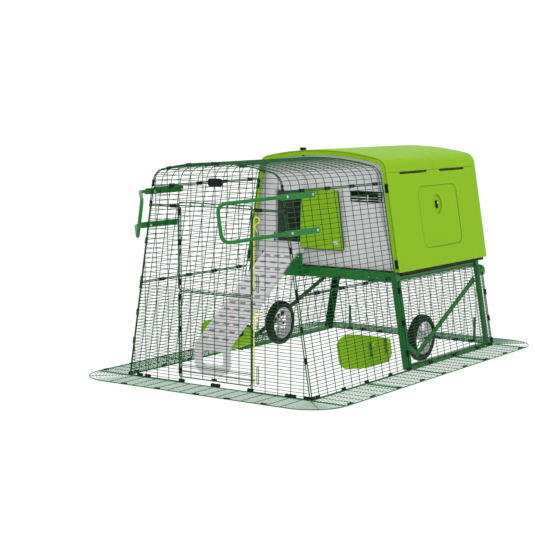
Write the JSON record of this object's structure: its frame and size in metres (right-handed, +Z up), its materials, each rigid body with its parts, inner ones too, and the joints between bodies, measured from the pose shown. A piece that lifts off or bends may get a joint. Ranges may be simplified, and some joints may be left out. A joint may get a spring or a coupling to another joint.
{
  "type": "chicken coop",
  "caption": "Raised plastic hen house on a steel stand with lift-down wheels, joined to an arched wire mesh run with doors, ladder, troughs and a ground skirt.",
  "frame": {"origin": "on the ground at the middle of the whole footprint, from the front carrying handles to the rear of the skirt", "axes": "+Z up, +Y towards the rear of the house, the run doors face -Y, +X to the right seen from the front"},
  "size_m": [1.54, 2.4444, 1.165],
  "materials": {
    "painted_steel": "dark green powder coat",
    "coated_mesh": "dark green coating over welded wire",
    "green_plastic": "bright leaf green moulded plastic, satin",
    "grey_plastic": "pale grey moulded plastic",
    "black_plastic": "near-black moulded plastic",
    "dark_inner_plastic": "grey-green moulded plastic inside the house",
    "tyre_rubber": "black rubber",
    "yellow_steel": "pale yellow coated rod",
    "zinc_steel": "zinc plated bolts"
  },
  "bodies": {
    "root": {"leg_front_left": "painted_steel", "leg_front_right": "painted_steel", "leg_rear_left": "painted_steel", "leg_rear_right": "painted_steel", "top_rails": "painted_steel", "front_beam": "painted_steel", "rear_beam": "painted_steel", "ground_rails": "painted_steel", "ladder_bracket": "painted_steel", "house_floor": "dark_inner_plastic", "front_wall": "grey_plastic", "side_shell_left": "green_plastic", "side_shell_right": "green_plastic", "side_liners": "grey_plastic", "rear_wall": "green_plastic", "vent_grille": "black_plastic", "roosting_bars": "dark_inner_plastic", "nest_box": "dark_inner_plastic", "side_lower_left": "coated_mesh", "side_lower_right": "coated_mesh", "side_upper_left": "coated_mesh", "side_upper_right": "coated_mesh", "run_roof": "coated_mesh", "front_panels": "coated_mesh", "front_arch": "coated_mesh", "under_panel_left": "coated_mesh", "under_panel_right": "coated_mesh", "under_panel_rear": "coated_mesh", "skirt_left": "coated_mesh", "skirt_right": "coated_mesh", "skirt_front": "coated_mesh", "skirt_rear": "coated_mesh", "panel_clips": "black_plastic", "handle_left": "painted_steel", "handle_right": "painted_steel", "handle_bolts": "zinc_steel", "badge": "black_plastic"},
    "lower_run_door": {"door_lower": "coated_mesh"},
    "upper_run_door": {"door_upper": "coated_mesh"},
    "lower_latch": {"latch_lower": "yellow_steel"},
    "upper_latch": {"latch_upper": "yellow_steel"},
    "pop_door_set": {"pop_door": "green_plastic", "pop_rod": "grey_plastic"},
    "lid": {"roof_lid": "green_plastic"},
    "pop_knob": {"roof_knob": "black_plastic"},
    "egg_hatch": {"egg_door": "green_plastic"},
    "egg_twist": {"egg_knob": "black_plastic"},
    "rear_hatch": {"rear_door": "green_plastic"},
    "rear_twist": {"rear_knob": "black_plastic"},
    "left_tray": {"tray_left": "dark_inner_plastic"},
    "right_tray": {"tray_right": "dark_inner_plastic"},
    "ramp": {"ladder": "grey_plastic"},
    "left_lever": {"wheel_lever_left": "painted_steel"},
    "right_lever": {"wheel_lever_right": "painted_steel"},
    "left_wheel": {"tyre_left": "tyre_rubber", "hub_left": "grey_plastic"},
    "right_wheel": {"tyre_right": "tyre_rubber", "hub_right": "grey_plastic"},
    "feed_trough": {"feeder": "green_plastic"},
    "water_trough": {"drinker": "green_plastic"}
  },
  "joints": [
    {"name": "lower_run_door_swing", "type": "hinge", "parent": "root", "child": "lower_run_door", "pos_m": [-0.225, -0.93575, 0.25], "axis": [0, 0, -1], "range_deg": [0, 110]},
    {"name": "upper_run_door_swing", "type": "hinge", "parent": "root", "child": "upper_run_door", "pos_m": [-0.225, -0.93575, 0.69], "axis": [0, 0, -1], "range_deg": [0, 80]},
    {"name": "lower_latch_lift", "type": "slide", "parent": "lower_run_door", "child": "lower_latch", "axis": [0, 0, 1], "range_m": [0, 0.02]},
    {"name": "upper_latch_lift", "type": "slide", "parent": "upper_run_door", "child": "upper_latch", "axis": [0, 0, 1], "range_m": [0, 0.02]},
    {"name": "pop_door_swing", "type": "hinge", "parent": "root", "child": "pop_door_set", "pos_m": [-0.124, 0.03525, 0.775], "axis": [0, 0, -1], "range_deg": [0, 180]},
    {"name": "roof_lift", "type": "slide", "parent": "root", "child": "lid", "axis": [0, 0, 1], "range_m": [0, 0.25]},
    {"name": "pop_knob_turn", "type": "hinge", "parent": "lid", "child": "pop_knob", "pos_m": [-0.124, 0.03525, 1.155], "axis": [0, 0, -1], "range_deg": [0, 180]},
    {"name": "egg_door_pull", "type": "slide", "parent": "root", "child": "egg_hatch", "axis": [0.9868, 0, 0.1616], "range_m": [0, 0.1]},
    {"name": "egg_knob_turn", "type": "hinge", "parent": "egg_hatch", "child": "egg_twist", "pos_m": [0.44336, 0.53725, 0.84855], "axis": [0.9868, 0, 0.1616], "range_deg": [0, 90]},
    {"name": "rear_door_pull", "type": "slide", "parent": "root", "child": "rear_hatch", "axis": [0, 1, 0], "range_m": [0, 0.12]},
    {"name": "rear_knob_turn", "type": "hinge", "parent": "rear_hatch", "child": "rear_twist", "pos_m": [0, 1.03525, 0.812], "axis": [0, 1, 0], "range_deg": [0, 90]},
    {"name": "left_tray_slide", "type": "slide", "parent": "root", "child": "left_tray", "axis": [0, 1, 0], "range_m": [0, 0.5]},
    {"name": "right_tray_slide", "type": "slide", "parent": "root", "child": "right_tray", "axis": [0, 1, 0], "range_m": [0, 0.5]},
    {"name": "ladder_tilt", "type": "hinge", "parent": "root", "child": "ramp", "pos_m": [-0.209, -0.05815, 0.57399], "axis": [-1, 0, 0], "range_deg": [0, 12]},
    {"name": "left_wheel_lift", "type": "hinge", "parent": "root", "child": "left_lever", "pos_m": [-0.53412, 0.04325, 0.15073], "axis": [0.9862, 0, -0.1656], "range_deg": [0, 3.5]},
    {"name": "right_wheel_lift", "type": "hinge", "parent": "root", "child": "right_lever", "pos_m": [0.53412, 0.04325, 0.15073], "axis": [0.9862, 0, 0.1656], "range_deg": [0, 3.5]},
    {"name": "left_wheel_roll", "type": "hinge", "parent": "left_lever", "child": "left_wheel", "pos_m": [-0.47, 0.31825, 0.1285], "axis": [1, 0, 0], "continuous": true},
    {"name": "right_wheel_roll", "type": "hinge", "parent": "right_lever", "child": "right_wheel", "pos_m": [0.47, 0.31825, 0.1285], "axis": [1, 0, 0], "continuous": true},
    {"name": "feeder_lift", "type": "slide", "parent": "root", "child": "feed_trough", "axis": [-0.1656, 0, 0.9862], "range_m": [0, 0.03]},
    {"name": "drinker_lift", "type": "slide", "parent": "root", "child": "water_trough", "axis": [0.1656, 0, 0.9862], "range_m": [0, 0.03]}
  ],
  "couplings": [
    {"joint": "pop_knob_turn", "follows": "pop_door_swing", "ratio": 1}
  ]
}
